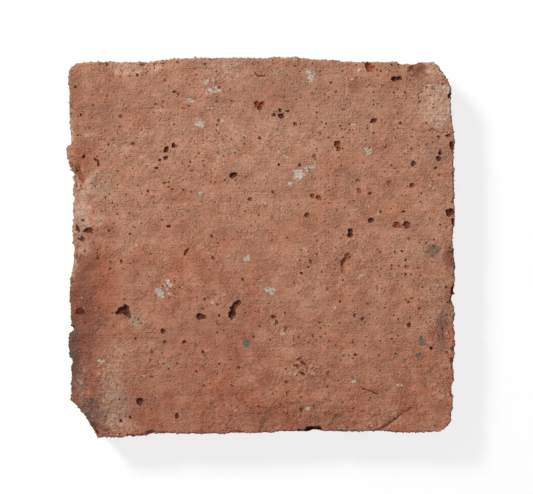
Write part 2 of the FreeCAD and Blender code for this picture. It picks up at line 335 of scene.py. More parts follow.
# Stains on the face, by kind: middle, length, width, turn, strength, softness, raggedness.
STAINS = {
    Mark.ROUGH: (
        (-95, -42, 12, 84, 0, 0.8, 0.6), (-84, -82, 34, 34, 0, 1, 0.6),
        (20, -88, 90, 18, 0, 1, 0.6, 0.6), (25, -62, 18, 12, -20, 1, 0.6, 0.6),
        (92, -45, 14, 60, 0, 0.8, 0.6), (86, 84, 24, 26, 0, 0.9, 0.6), (-64, 94, 40, 9, 0, 1, 0.4),
        (-26, 78, 26, 24, 0, 0.6, 0.8), (-46, -22, 18, 10, 0, 0.8, 0.6),
        (22, 38, 20, 14, 0, 0.7, 0.7), (2, 96, 90, 6, 0, 0.7, 0.6), (96, 20, 7, 90, 0, 0.7, 0.6),
    ),
    Mark.BURNT: (
        (-94, -38, 20, 80, 0, 1, 0.7, 0.7), (-92, 50, 16, 26, 0, 0.3, 0.8),
        (-93.4, 36.6, 8, 2.4, -58, 0.6, 0.3), (-86, 72, 30, 36, 0, 0.45, 0.9),
        (-96, 77, 12, 30, 0, 0.58, 0.7), (18, 78, 96, 20, 0, 0.36, 0.8),
        (28, 91, 12, 10, 0, 0.4, 0.8), (-80, 9, 15, 14, 0, 0.5, 0.8),
        (42, 38, 20, 20, 0, 0.42, 0.9), (-12, 36, 20, 16, 0, 0.42, 0.9),
        (16, 32, 26, 24, 0, 0.36, 0.9), (-66, 76, 16, 16, 0, 0.4, 0.9),
        (-18, 77, 24, 14, 0, 0.4, 0.9), (50, 77, 24, 14, 0, 0.38, 0.9),
        (40, -30, 14, 14, 0, 0.34, 0.9), (-42, -66, 18, 16, 0, 0.34, 0.9),
        (82, 10, 16, 16, 0, 0.4, 0.9), (48, -37, 36, 28, 0, 0.36, 0.9),
        (-66, -17, 16, 16, 0, 0.34, 0.9), (-31, -42, 46, 24, 10, 0.42, 0.8),
        (14, -88, 70, 16, 0, 0.5, 0.9), (81, 92, 9, 9, 0, 0.9, 0.4), (97, -4, 8, 14, 0, 0.7, 0.5),
        (97, -24, 6, 12, 0, 0.6, 0.5), (-84, -94, 16, 7, -18, 0.8, 0.5),
        (48, 84, 8, 9, 0, 0.6, 0.4),
    ),
    Mark.EMBER: (
        (-82, -18, 20, 50, 4, 0.7, 0.9), (-80, 8, 18, 12, 0, 0.4, 0.8),
        (-92, 47, 16, 22, 0, 0.6, 0.7), (-93.4, 36.6, 8, 2.6, -58, 1, 0.3),
        (-79, 86, 20, 24, 0, 0.36, 0.9),
    ),
    Mark.SOOT: (
        (-97, -60, 9, 46, 4, 0.85, 0.7), (-88, -84, 17, 13, -42, 0.9, 0.7),
        (-80, -45, 14, 22, 0, 0.4, 0.9), (-66, -57, 16, 14, 0, 0.4, 0.9),
        (-66, -82, 38, 32, 0, 0.45, 0.9), (-32, 93, 16, 8, 0, 0.4, 0.8),
        (92, 52, 13, 22, 0, 0.42, 0.9), (42, 70, 16, 18, 0, 0.25, 0.9),
    ),
    Mark.PALE: (
        (-76, -84, 20, 26, 0, 0.4, 0.8), (-72, -93, 18, 10, 0, 0.62, 0.7),
        (-76, -56, 17, 18, 0, 0.42, 0.6), (-92, 19, 8, 20, 0, 0.84, 0.3, 0.3),
        (-83.4, 14.4, 7, 7, 0, 0.75, 0.4, 0.4), (-88.4, 35.6, 14, 2.4, 47, 0.95, 0.3, 0.2),
        (-90.4, 30.6, 6, 5, 0, 0.8, 0.4), (-98.2, 58.6, 2.6, 6.5, 10, 0.9, 0.3),
        (-89, 58.4, 9, 1.4, 8, 0.6, 0.4), (-88, 53.4, 9, 1.2, 6, 0.6, 0.4),
        (-77, -66, 22, 36, 0, 0.4, 0.9), (-92, 1, 9, 11, 20, 0.55, 0.45),
        (14, -68, 46, 18, 0, 0.34, 0.9), (-93, -70, 10, 24, 0, 0.42, 0.8),
        (-97, -10, 4, 12, 0, 0.7, 0.4), (91, 74, 19, 28, 10, 0.85, 0.7, 0.6),
        (90, 92, 12, 8, -20, 0.8, 0.5), (-70.5, 93, 19, 8.5, 0, 0.72, 0.2, 0.35),
        (-56, 94.5, 15, 5.4, 4, 0.7, 0.2, 0.35), (-72, 56, 16, 20, 0, 0.4, 0.9),
        (-17, 48, 28, 34, 0, 0.32, 0.9), (22, 54, 24, 22, 0, 0.3, 0.9),
        (89, 24, 12, 30, 0, 0.3, 0.9), (-18, 92, 22, 12, 0, 0.5, 0.8),
        (-72, -55, 30, 16, 0, 0.38, 0.9), (62, -90, 22, 10, 0, 0.45, 0.8),
        (92, -72, 12, 14, 0, 0.4, 0.8), (-60.9, 58.2, 7, 9, 0, 0.6, 0.6),
        (-60.2, 45.2, 8, 4, -20, 0.62, 0.6), (-16, 92, 15, 12, 0, 0.55, 0.7),
        (-21.5, 51, 8, 16, 20, 0.5, 0.7),
    ),
    Mark.SALLOW: (
        (-77, -80, 18, 30, -10, 0.8, 0.8), (-64, -38, 13, 6, -35, 0.8, 0.6),
        (-94, 11, 10, 16, 0, 0.72, 0.7), (-91, 56, 12, 10, 0, 0.5, 0.8),
        (-48.6, -59.5, 7, 5.5, 0, 0.6, 0.6), (-80, 37, 11, 5, 25, 0.55, 0.7),
        (8.9, 89.8, 8, 6, 0, 0.6, 0.7), (27, 92, 7, 9, 0, 0.55, 0.7),
        (-84, 30, 14, 16, -30, 0.6, 0.8), (88, -22, 14, 30, 0, 0.35, 0.9),
    ),
}

# Flecks and pebbles with crisp edges, in the same columns.
FLECKS = {
    Mark.BURNT: (
        (-31, 69, 4, 5, 0, 0.6, 0.6, 0.5),
    ),
    Mark.SOOT: (
        (89, -1, 9, 8, 10, 0.75, 0.6, 0.9), (93.5, -42, 7, 26, -5, 0.72, 0.6, 0.9),
    ),
    Mark.LIME: (
        (96.4, 80, 5, 4, 0, 0.5, 0.6, 0.8), (92, 84, 7, 3, -30, 0.45, 0.6, 0.8),
        (93, 66, 6, 4, 30, 0.4, 0.6, 0.8), (-37.4, 76.3, 4.4, 3.4, 20, 0.75, 0.5, 0.6),
        (-41.8, 76.8, 2.2, 1.6, 0, 0.5, 0.4, 0.5), (-28.2, 85.9, 4, 2.8, 20, 0.58, 0.5, 0.7),
        (-25.1, 87.1, 2.4, 2, 0, 0.5, 0.4, 0.6), (-25.4, 80.8, 8.6, 4, 4, 0.62, 0.5, 0.9),
        (-28, 79.4, 2.4, 1.8, 0, 0.6, 0.4, 0.6), (-31.2, 63.6, 4, 2.8, -20, 0.62, 0.5, 0.7),
        (-21.5, 71.1, 2.8, 1.8, 20, 0.5, 0.5, 0.6), (-27.1, 72.1, 2.6, 1.8, 0, 0.5, 0.5, 0.6),
        (19.4, 38.1, 6.6, 5.6, 30, 0.95, 0.35, 0.7), (24.6, 41.8, 7, 3.6, 20, 0.45, 0.6, 0.9),
        (55.4, 50, 3.8, 4.4, 0, 0.68, 0.4, 0.6), (49.9, 91.6, 2.2, 2, 0, 0.8, 0.4, 0.5),
        (-7.7, -5.4, 3, 2.6, 0, 0.8, 0.4, 0.6), (-48.3, -19.4, 3.6, 5.4, -20, 0.75, 0.4, 0.7),
        (-52.6, -23, 4.6, 5.4, 10, 0.8, 0.4, 0.7), (-45, -24.4, 8, 1.8, -4, 0.5, 0.5, 0.8),
        (4.7, -22.4, 5.2, 3.4, -5, 0.8, 0.4, 0.6), (-25.9, -28.2, 2.4, 3.2, 0, 0.6, 0.5, 0.6),
        (-16.3, -23, 2.6, 2.2, 0, 0.5, 0.5, 0.6), (10.6, -44.7, 2.8, 2, 0, 0.5, 0.5, 0.6),
        (38.5, -31.8, 2.4, 2, 0, 0.5, 0.5, 0.6), (26.1, -39.6, 2.4, 1.8, 0, 0.5, 0.5, 0.6),
        (46.8, -79.4, 2.4, 2.2, 0, 0.5, 0.5, 0.6), (71.4, -71, 4, 2, -20, 0.65, 0.5, 0.6),
        (25.6, 89, 4.2, 8, 10, 0.45, 0.7, 0.8), (97.4, 68.6, 2.6, 9, 4, 0.7, 0.5, 0.6),
    ),
    Mark.STONE: (
        (-7.8, -49.5, 3.4, 5, 5, 1, 0.12, 0.25), (83, -48.9, 3.8, 4.6, 20, 1, 0.12, 0.3),
        (80.7, -55.6, 2.6, 2.6, 0, 0.9, 0.2, 0.4), (73.9, -58.7, 2.4, 3.2, -30, 0.7, 0.3, 0.5),
        (-88.9, 62.1, 1.9, 1.7, 0, 0.9, 0.3, 0.3), (8.3, 60.9, 1.6, 1.6, 0, 0.9, 0.3, 0.3),
        (40.6, -87.1, 1.6, 1.6, 0, 0.9, 0.3, 0.3), (87.6, -63.3, 1.6, 5, -30, 0.6, 0.5, 0.8),
        (84.2, -71.5, 1.4, 6.4, -32, 0.6, 0.5, 0.8),
    ),
    Mark.RUST: (
        (-56.6, 26.1, 3, 1.7, 15, 1, 0.3, 0.3),
    ),
}

# Specks of lime and slate in the face: how strongly each kind shows, then place and size across.
SPECKS = (
    (Mark.LIME, 0.75, (
        (-31.2, 28.2, 2.4), (47, 86.9, 1.9), (47.7, 63.6, 2.3), (12.8, 47.2, 1.9),
        (14.7, 32.7, 1.9), (60.6, 17.4, 2.2), (32.2, 28.2, 1.9), (-45.4, -90.5, 1.8),
        (23.8, -83.6, 2.1), (47.3, -69.4, 1.7), (96, -44.6, 2.3), (-82.2, -59, 2.6),
        (-84, -58.4, 1.9), (9, 49.5, 1.7), (-20.5, 66, 1.9), (-60.9, -66, 1.6), (52, -14, 1.6),
    )),
    (Mark.STONE, 0.8, (
        (-33.7, -50.4, 2.1), (-51.2, -54.5, 1.9), (-18.2, -91, 2), (-83.5, -67.2, 2.2),
        (10.2, -81.4, 1.7), (5, -87, 1.8), (65.1, -73.7, 1.6), (42.5, -55.8, 1.5),
        (81.3, -10.3, 1.8), (-85, 6.6, 1.6), (-81.5, 6.6, 1.6), (-74, 39.5, 1.5),
        (-80.6, 33.7, 1.5), (-67.9, 88.7, 1.6), (-28.5, -57, 1.5), (30.6, -46, 1.5),
    )),
)

# Every patch: the stains, the flecks and the specks.
PATCHES = tuple(Patch(*row, mark=mark, fine=fine)
                for fine, table in ((False, STAINS), (True, FLECKS))
                for mark, rows in table.items() for row in rows)
PATCHES += tuple(Patch(x, y, across, across * 0.8, 0, strength, 0.4, 0.5, mark=mark, fine=True)
                 for mark, strength, rows in SPECKS for x, y, across in rows)

# Cracks in the face first, and the faint scratches of the strike last.
GROOVES = (
    Groove(((-3.2, 90.6), (-1.4, 88.6), (1.6, 89.0)), 0.9, 0.5, 0.7),
    Groove(((43.0, 88.5), (43.4, 78.5), (46.8, 73.0), (52.0, 67.0)), 0.8, 0.3, 0.42, 0.2),
    Groove(((84.0, 59.7), (88.5, 61.0), (93.0, 59.4), (96.0, 59.6)), 0.8, 0.35, 0.6),
    Groove(((57.5, -95.2), (62.0, -93.6), (68.0, -90.4), (72.5, -86.0), (77.8, -83.0)), 0.75, 0.5,
           0.55, 0.35),
    Groove(((52.4, -73.0), (56.0, -74.2), (60.2, -75.8)), 0.75, 0.5, 0.85),
    Groove(((54.4, 82.6), (56.6, 84.2), (59.2, 83.0)), 0.6, 0.3, 0.5),
    Groove(((21.0, -38.6), (61.0, -39.6)), 0.9, 0.14, 0.0),
    Groove(((30.0, -44.4), (82.0, -45.2)), 0.9, 0.12, 0.0),
    Groove(((4.0, -52.0), (78.0, -52.6)), 0.9, 0.14, 0.0),
    Groove(((-82.6, 1.0), (-82.2, -43.0)), 0.9, 0.16, 0.15),
)


def linear(tone: str) -> tuple[float, float, float, float]:
    """Turn a colour written as six hex digits into the linear values that shaders take.

    Args:
        tone: the colour as it looks on a screen, such as "a8775d".

    Returns:
        Red, green, blue and an alpha of 1.
    """
    parts = []
    for start in (0, 2, 4):
        value = int(tone[start:start + 2], 16) / 255
        parts.append(value / 12.92 if value <= 0.04045 else ((value + 0.055) / 1.055) ** 2.4)
    return (parts[0], parts[1], parts[2], 1.0)


def grainy(places: np.ndarray, size: float, seed: float) -> np.ndarray:
    """Noise from about -1 to 1 at each place.

    Args:
        places: points in millimetres, one a row.
        size: how far across the lumps are.
        seed: a different number gives different noise.

    Returns:
        One value for each place.
    """
    shifted = places / size + np.array((seed * 13.7, seed * 7.3, seed * 3.1))
    return np.array([noise.noise(place) for place in shifted.tolist()])


def waves(places: np.ndarray, rows: Waves) -> np.ndarray:
    """Add up noises of several sizes.

    Args:
        places: points in millimetres, one a row.
        rows: the height, size across and seed of each noise.

    Returns:
        One value for each place.
    """
    return sum(height * grainy(places, size, seed) for height, size, seed in rows)


def smooth(values: np.ndarray) -> np.ndarray:
    """Ease values from 0 to 1, and hold them there outside."""
    held = np.clip(values, 0.0, 1.0)
    return held * held * (3.0 - 2.0 * held)


def along_side(places: np.ndarray, wear: tuple[tuple[float, float], ...]) -> np.ndarray:
    """Read how far a side has worn in at each place along it.

    Args:
        places: coordinates along the side.
        wear: the side's list of places and wear.

    Returns:
        The wear, eased from one listed place to the next.
    """
    knots = np.array(wear)
    index = np.clip(np.searchsorted(knots[:, 0], places) - 1, 0, len(knots) - 2)
    start, stop = knots[index], knots[index + 1]
    share = smooth((places - start[:, 0]) / (stop[:, 0] - start[:, 0]))
    return start[:, 1] + share * (stop[:, 1] - start[:, 1])


def put_in_scene(name: str, data: bpy.types.ID) -> bpy.types.Object:
    """Make an object of a mesh, a lamp or a camera, and put it in the scene.

    Args:
        name: the object's name.
        data: the mesh, lamp or camera.

    Returns:
        The object, at the origin.
    """
    item = bpy.data.objects.new(name, data)
    bpy.context.scene.collection.objects.link(item)
    return item


@dataclass
class Clay:
    """The tile's vertices while they are worked, in millimetres."""

    born: np.ndarray
    place: np.ndarray = field(init=False)
    marks: dict[Mark, np.ndarray] = field(init=False)

    def __post_init__(self) -> None:
        """Start the worked places and the empty marks."""
        self.place = self.born.copy()
        self.marks = {mark: np.zeros(len(self.born)) for mark in Mark}

    def raise_mark(self, mark: Mark, where: np.ndarray, values: np.ndarray) -> None:
        """Raise a mark to the given values where they are higher.

        Args:
            mark: which mark.
            where: indices of the vertices.
            values: one value for each of them.
        """
        self.marks[mark][where] = np.maximum(self.marks[mark][where], values)


@dataclass
class FiredTile:
    """The tile itself: one slab, worked from a block to its worn shape."""

    length: float
    width: float
    thickness: float
    cell: float = 3.8
    fine_cuts: int = 3
    draft: float = 2.0
    walking_arris: float = 0.9
    bed_arris: float = 0.9
    wear_reach: float = 16.0
    faint_groove: float = 0.2
    seed: int = 7
    chips: int = 90
    side_pocks: int = 70
    arris_noise: Waves = ((1.0, 9.0, 1.0), (1.0, 2.5, 1.5))
    flake_noise: Waves = ((0.6, 3.4, 41.0), (0.5, 1.3, 42.0))
    mortar_noise: Waves = ((1.0, 1.3, 44.0), (0.8, 3.5, 45.0))
    mortar_spikes: Waves = ((0.9, 0.9, 46.0), (0.7, 1.9, 47.0))
    crumbly_noise: Waves = ((1.0, 13.0, 17.0), (0.5, 4.5, 18.0))
    face_swell: Waves = ((0.22, 60.0, 2.0), (0.12, 22.0, 3.0), (0.04, 8.0, 4.0), (0.03, 3.2, 5.0))
    side_swell: Waves = ((0.35, 11.0, 8.0), (0.22, 3.6, 9.0))
    edge_jag: Waves = ((0.45, 2.4, 11.0), (0.85, 1.2, 12.0), (0.6, 0.65, 13.0))
    name: str = "fired_tile"

    @property
    def half(self) -> tuple[float, float]:
        """Half the length and half the width."""
        return (self.length / 2, self.width / 2)

    def inside(self, places: np.ndarray) -> np.ndarray:
        """Measure how far places lie inside the nearest side of the block."""
        return np.minimum(self.half[0] - abs(places[:, 0]), self.half[1] - abs(places[:, 1]))

    def block(self) -> bmesh.types.BMesh:
        """Make the block, in even cells, with fine cells everywhere but underneath.

        Returns:
            The block, in metres, standing on the floor.
        """
        sizes = [side * MM for side in (self.length, self.width, self.thickness)]
        mesh = bmesh.new()
        bmesh.ops.create_cube(mesh, size=1.0)
        bmesh.ops.scale(mesh, vec=sizes, verts=mesh.verts)
        bmesh.ops.translate(mesh, vec=(0, 0, sizes[2] / 2), verts=mesh.verts)
        for axis, size in enumerate(sizes):
            whole = [edge for edge in mesh.edges
                     if abs((edge.verts[0].co - edge.verts[1].co)[axis]) > size / 2]
            cuts = round(size / (self.cell * MM)) - 1
            bmesh.ops.subdivide_edges(mesh, edges=whole, cuts=cuts, use_grid_fill=True)
        seen = {edge for face in mesh.faces if face.normal.z > -0.5 for edge in face.edges}
        seen = [edge for edge in mesh.edges if edge in seen]
        bmesh.ops.subdivide_edges(mesh, edges=seen, cuts=self.fine_cuts, use_grid_fill=True)
        return mesh

    def refine(self, mesh: bmesh.types.BMesh) -> None:
        """Halve the cells round every small feature and along the arris, then again at pits.

        Args:
            mesh: the block.
        """
        # how far round the arris, the pits and the flecks each step reaches
        steps = ((2.0, 1.1, 0.3), (0.0, 0.35, None))
        for step, (arris, pit, fleck) in enumerate(steps):
            born = np.array([vertex.co for vertex in mesh.verts]) / MM
            worn = self.outline(born)
            near = np.zeros(len(born), bool)
            for item in PITS:
                near |= item.measure(worn, pit) < 1
            for x, y in PINHOLES:
                near |= np.hypot(worn[:, 0] - x, worn[:, 1] - y) < 0.9 + pit / 2
            for item in PATCHES:
                if item.fine and fleck is not None:
                    near |= item.measure(worn, fleck) < 1
            for item in GROOVES:
                if item.dark > self.faint_groove:
                    near |= self.off_line(worn, item) < item.width * 1.2 + pit / 2
            near &= born[:, 2] > self.thickness - ON_PLANE
            if arris:
                near |= (self.inside(born) < arris) & (self.thickness - born[:, 2] < arris)
            mesh.verts.index_update()
            chosen = [edge for edge in mesh.edges
                      if near[edge.verts[0].index] and near[edge.verts[1].index]]
            bmesh.ops.subdivide_edges(mesh, edges=chosen, cuts=1, use_grid_fill=True)
            log.info("refined %d: %d faces", step, len(mesh.faces))

    def outline(self, places: np.ndarray) -> np.ndarray:
        """Bring places in the square block to the worn outline.

        Args:
            places: points in the block.

        Returns:
            The same points in the worn tile.
        """
        moved = places.copy()
        for corner in CORNERS:
            signs = (1 if corner.right else -1, 1 if corner.back else -1)
            reach = (corner.along, corner.across)
            out = [np.clip((signs[axis] * moved[:, axis] - self.half[axis] + reach[axis])
                           / reach[axis], 0, None) for axis in (0, 1)]
            inside = (out[0] > 0) & (out[1] > 0)
            square = np.maximum(out[0], out[1])[inside]
            power = corner.fullness
            full = (out[0][inside] ** power + out[1][inside] ** power) ** (1 / power)
            for axis in (0, 1):
                core = self.half[axis] - reach[axis]
                pull = reach[axis] * out[axis][inside] * square / full
                moved[inside, axis] = signs[axis] * (core + pull)
        lift = np.clip(places[:, 2] / self.thickness, 0, 1)
        lean = (1 - lift) * self.thickness * math.tan(math.radians(self.draft))
        hold = 0.6 + 0.4 * lift
        shift = np.zeros((len(places), 2))
        for axis, sign, wear in ((0, -1, LEFT_WEAR), (0, 1, RIGHT_WEAR), (1, -1, FRONT_WEAR),
                                 (1, 1, BACK_WEAR)):
            depth = self.half[axis] - sign * moved[:, axis]
            near = np.clip(1 - depth / self.wear_reach, 0, 1)
            inset = along_side(moved[:, 1 - axis], wear) * hold + lean
            shift[:, axis] -= sign * near * inset
        moved[:, :2] += shift
        return moved

    def round_arris(self, clay: Clay) -> None:
        """Round the upper and the lower edge, more in some places than in others.

        Args:
            clay: the vertices.
        """
        place = clay.place
        unevenness = waves(clay.born * (1, 1, 0), self.arris_noise)
        for level, sign, radius in ((self.thickness, -1, self.walking_arris),
                                    (0.0, 1, self.bed_arris)):
            round_by = radius * np.clip(1 + 0.9 * unevenness, 0.3, 2.4)
            side = self.inside(place)
            out = np.clip(round_by - side, 0, None)
            up = np.clip(round_by - sign * (place[:, 2] - level), 0, None)
            both = (out > 0) & (up > 0)
            share = np.maximum(out, up)[both] / np.hypot(out, up)[both]
            inward = out[both] * (1 - share)
            for axis in (0, 1):
                ring = self.half[axis] - side[both]
                place[both, axis] *= (ring - inward) / ring
            place[both, 2] += sign * up[both] * (1 - share)

    @staticmethod
    def off_line(places: np.ndarray, groove: Groove) -> np.ndarray:
        """Measure how far places lie from a groove.

        Args:
            places: points in millimetres, one a row.
            groove: the groove.

        Returns:
            One distance for each place.
        """
        nearest = np.full(len(places), np.inf)
        for start, stop in zip(groove.points, groove.points[1:]):
            start, run = np.array(start), np.array(stop) - np.array(start)
            share = np.clip(((places[:, :2] - start) @ run) / (run @ run), 0, 1)
            foot = start + share[:, None] * run
            nearest = np.minimum(nearest, np.hypot(*(places[:, :2] - foot).T))
        return nearest

    def scoop(self, clay: Clay, centre: np.ndarray, radii: tuple[float, float, float],
              turn: float, seed: float, ragged: float) -> tuple[np.ndarray, np.ndarray]:
        """Push the clay out of a ragged ellipsoid.

        Args:
            clay: the vertices.
            centre: middle of the ellipsoid.
            radii: its three half sizes.
            turn: degrees that its length is turned from +X.
            seed: which ragged shape.
            ragged: how ragged it is.

        Returns:
            The vertices inside, and how deep inside each one was, from 0 at the rim to 1.
        """
        angle = math.radians(turn)
        spin = np.array(((math.cos(angle), math.sin(angle), 0),
                         (-math.sin(angle), math.cos(angle), 0), (0, 0, 1)))
        near = np.flatnonzero(np.abs(clay.place - centre).max(axis=1) < 1.5 * max(radii))
        if not len(near):
            return near, np.zeros(0)
        local = ((clay.place[near] - centre) @ spin.T) / radii
        reach = np.maximum(np.linalg.norm(local, axis=1), 1e-3)
        outward = local / reach[:, None]
        edge = 1 + ragged * grainy(outward, 0.55, seed)
        inside = reach < edge
        near, local = near[inside], outward[inside] * edge[inside, None]
        clay.place[near] = (local * radii) @ spin + centre
        return near, 1 - (reach[inside] / edge[inside])

    def sink_pits(self, clay: Clay) -> None:
        """Sink the pits and the pinholes, and mark the painted shade and the rust-red inside them.

        Args:
            clay: the vertices.
        """
        draw = random.Random(self.seed)
        pits = list(PITS)
        for x, y in PINHOLES:
            across = draw.uniform(0.9, 1.6)
            length, depth = across * draw.uniform(1.0, 1.5), across * draw.uniform(0.35, 0.6)
            turn, dark = draw.uniform(0, 180), draw.uniform(0.6, 1.0)
            rust = draw.choice((0.1, 0.4, 0.6))
            pits.append(Pit(x, y, length, across, turn, depth, dark, rust))
        spread = 1.06
        for number, pit in enumerate(pits):
            lift = 0.2 * pit.depth
            centre = np.array((pit.x, pit.y, self.thickness + lift))
            radii = (pit.length / 2 * spread, pit.width / 2 * spread, pit.depth + lift)
            where, deep = self.scoop(clay, centre, radii, pit.turn, number * 0.37, 0.3)
            inner = smooth(deep / 0.25)
            # painted shade inside the pit, partly its dark clay
            clay.raise_mark(Mark.HOLLOW_SHADE, where, pit.dark * (0.35 + 0.65 * inner))
            clay.raise_mark(Mark.RUST, where, pit.rust * (0.5 + 0.5 * inner))

    def pock_sides(self, clay: Clay) -> None:
        """Sink burst pits into the four sides.

        Args:
            clay: the vertices.
        """
        draw = random.Random(self.seed + 2)
        low = self.thickness * 0.12
        for number in range(self.side_pocks):
            sign, along = draw.choice((-1, 1)), draw.uniform(-88, 88)
            height = draw.uniform(low, self.thickness - 4.5)
            on_x = draw.random() < 0.5
            start = (along, sign * self.half[1], height)
            if on_x:
                start = (sign * self.half[0], along, height)
            nearest = np.abs(clay.born - start).sum(axis=1).argmin()
            size = 0.7 + 1.6 * draw.random() ** 2
            radii = (size * draw.uniform(1.0, 1.7), size * draw.uniform(1.0, 1.7), size)
            where, deep = self.scoop(clay, clay.place[nearest], radii, 0.0, 200 + number, 0.25)
            # shade painted inside the pock
            clay.raise_mark(Mark.HOLLOW_SHADE, where, draw.uniform(0.3, 0.9) * smooth(deep / 0.3))

    def chip_arris(self, clay: Clay) -> None:
        """Knock small chips out of the upper edge all round.

        Args:
            clay: the vertices.
        """
        draw = random.Random(self.seed + 1)
        edge = np.flatnonzero((self.inside(clay.born) < ON_PLANE)
                              & (self.thickness - clay.born[:, 2] < ON_PLANE))
        for number in range(self.chips):
            start = clay.place[draw.choice(edge.tolist())]
            out = np.array((start[0] / self.length, start[1] / self.width))
            out = np.sign(out) * (np.abs(out) > np.abs(out).max() * 0.9)
            size = 0.6 + 1.5 * draw.random() ** 2.5
            centre = start + np.array((out[0], out[1], 0.5)) * size * 0.45
            radii = (size * draw.uniform(0.8, 1.6), size * draw.uniform(0.8, 1.6), size)
            where, deep = self.scoop(clay, centre, radii, draw.uniform(0, 180), 50 + number, 0.25)
            # a little shade painted inside the chip
            clay.raise_mark(Mark.HOLLOW_SHADE, where, 0.35 * smooth(deep / 0.3))

    def spall(self, clay: Clay) -> None:
        """Lower the places where a thin skin of clay has come away.

        Args:
            clay: the vertices.
        """
        top = np.flatnonzero(clay.born[:, 2] > self.thickness - 3)
        places = clay.place[top]
        ragged = waves(places, self.flake_noise)
        floor = 0.3 * grainy(places, 2.2, 43.0)
        for flake in FLAKES:
            lost = smooth((1.0 - flake.measure(places) + 2 * flake.ragged * ragged) / 0.16)
            clay.place[top, 2] -= lost * flake.depth * (1 + floor)
            clay.raise_mark(Mark.ROUGH, top, 0.8 * lost)

    def cling(self, clay: Clay) -> None:
        """Leave lumps of old mortar clinging to the sides, standing proud of them.

        Args:
            clay: the vertices.
        """
        rugged = waves(clay.place, self.mortar_noise)
        for lump in LUMPS:
            axis, sign = (0, lump.right) if lump.right else (1, lump.back)
            on_side = np.abs(self.half[axis] - sign * clay.born[:, axis]) < ON_PLANE
            along = (clay.place[:, 1 - axis] - lump.place) / lump.reach
            up = (clay.born[:, 2] - lump.height) / 8.0
            weight = np.clip(1.0 - along ** 2 - up ** 2 + 0.9 * rugged, 0, 1)
            weight *= on_side & (clay.born[:, 2] < self.thickness - 1.2)
            spikes = waves(clay.place, self.mortar_spikes)
            clay.place[:, axis] += sign * (lump.proud + spikes) * np.sqrt(weight)
            clay.raise_mark(Mark.MORTAR, np.arange(len(weight)), smooth(weight * 2))

    def cut_grooves(self, clay: Clay) -> None:
        """Open the cracks and scratches.

        Args:
            clay: the vertices.
        """
        on_top = np.flatnonzero(self.thickness - clay.place[:, 2] < 2.5)
        for number, groove in enumerate(GROOVES):
            wander = clay.place[on_top] + 0.5 * np.stack(
                [grainy(clay.place[on_top], 2.2, 20 + number + step) for step in (0, 0.5, 0.9)], 1)
            off = self.off_line(wander, groove) / groove.width
            profile = np.exp(-off ** 2 * 1.6)
            clay.place[on_top, 2] -= groove.depth * profile
            if groove.ledge:
                start, stop = np.array(groove.points[0]), np.array(groove.points[-1])
                run = stop - start
                beside = (wander[:, 0] - start[0]) * run[1] - (wander[:, 1] - start[1]) * run[0]
                fall = np.clip(1 - off * groove.width / 9.0, 0, 1) * smooth(beside / 12.0)
                clay.place[on_top, 2] -= groove.ledge * fall
            # shade painted down the groove
            clay.raise_mark(Mark.HOLLOW_SHADE, on_top, groove.dark * profile ** 2)

    def stain(self, clay: Clay) -> None:
        """Lay the stains, flecks and pebbles on the walking face.

        Args:
            clay: the vertices.
        """
        top = np.flatnonzero(clay.born[:, 2] > self.thickness - 6)
        places = clay.place[top]
        coarse, fine = grainy(places, 6.0, 31.0), grainy(places, 1.7, 32.0)
        for patch in PATCHES:
            far = patch.measure(places)
            far += patch.ragged * (fine if patch.fine else 0.6 * coarse + 0.4 * fine)
            value = patch.strength * smooth((1 + patch.softness - far) / (2 * patch.softness))
            clay.raise_mark(patch.mark, top, value)

    def weather(self, clay: Clay) -> None:
        """Give the walking face its slow waves, and the sides and underside their roughness.

        Args:
            clay: the vertices.
        """
        born, place = clay.born, clay.place
        top = smooth((born[:, 2] - self.thickness + self.walking_arris) / self.walking_arris)
        under = smooth((self.bed_arris - born[:, 2]) / self.bed_arris)
        patchy = smooth((waves(place, self.crumbly_noise) - 0.13) / 0.5)
        clay.raise_mark(Mark.ROUGH, np.arange(len(place)), 0.6 * patchy)
        rough = clay.marks[Mark.ROUGH]
        swell = waves(place, self.face_swell)
        swell += 0.16 * rough * grainy(place, 2.0, 19.0)
        swell += (0.02 + 0.5 * rough ** 2) * grainy(place, 3.4, 20.0)
        # the strike dragged the clay along the tile, so these waves run long that way
        drag = 0.05 * grainy(place * (0.08, 1.0, 1.0), 1.8, 6.0)
        place[:, 2] += top * (swell + drag)
        place[:, 2] += under * 0.45 * (1 + grainy(place, 14.0, 7.0))
        clay.marks[Mark.STRUCK] = top
        self.roughen_sides(clay, top, under)

    def roughen_sides(self, clay: Clay, top: np.ndarray, under: np.ndarray) -> None:
        """Push the sides in and out, and leave a crust of old mortar on them.

        Args:
            clay: the vertices.
            top: how far each vertex belongs to the walking face.
            under: how far each vertex belongs to the underside.
        """
        born, place = clay.born, clay.place
        uneven = waves(place, self.side_swell)
        uneven += 0.16 * grainy(place * (0.15, 0.15, 1.0), 1.6, 10.0)
        jag = waves(place, self.edge_jag)
        # the sides move whole, and the faces only close to them; the upper edge is the raggedest
        rim = np.exp(-np.clip(self.inside(born), 0, None) ** 2 / 1.5)
        edge = np.exp(-(born[:, 2] - self.thickness) ** 2 / 3.0)
        push = rim * ((1 - top) * (1 - under) * uneven + edge * jag)
        # outwards is square to a side, and turns from one side to the next near a corner
        out = born[:, :2] / self.half
        out = np.sign(out) * np.clip((np.abs(out) - 0.86) / 0.14, 0, 1)
        out /= np.maximum(np.linalg.norm(out, axis=1), 1e-6)[:, None]
        place[:, :2] += out * push[:, None]
        lumps = grainy(place * (1, 1, 1.4), 9.0, 14.0) + 0.5 * grainy(place, 2.6, 15.0)
        crust = smooth((lumps - 0.28) / 0.3) * (1 - top) * smooth((self.thickness - born[:, 2]) / 3)
        clay.raise_mark(Mark.MORTAR, np.arange(len(born)), crust)
        place[:, :2] += out * (crust * rim * (0.25 + 0.25 * grainy(place, 1.6, 16.0)))[:, None]

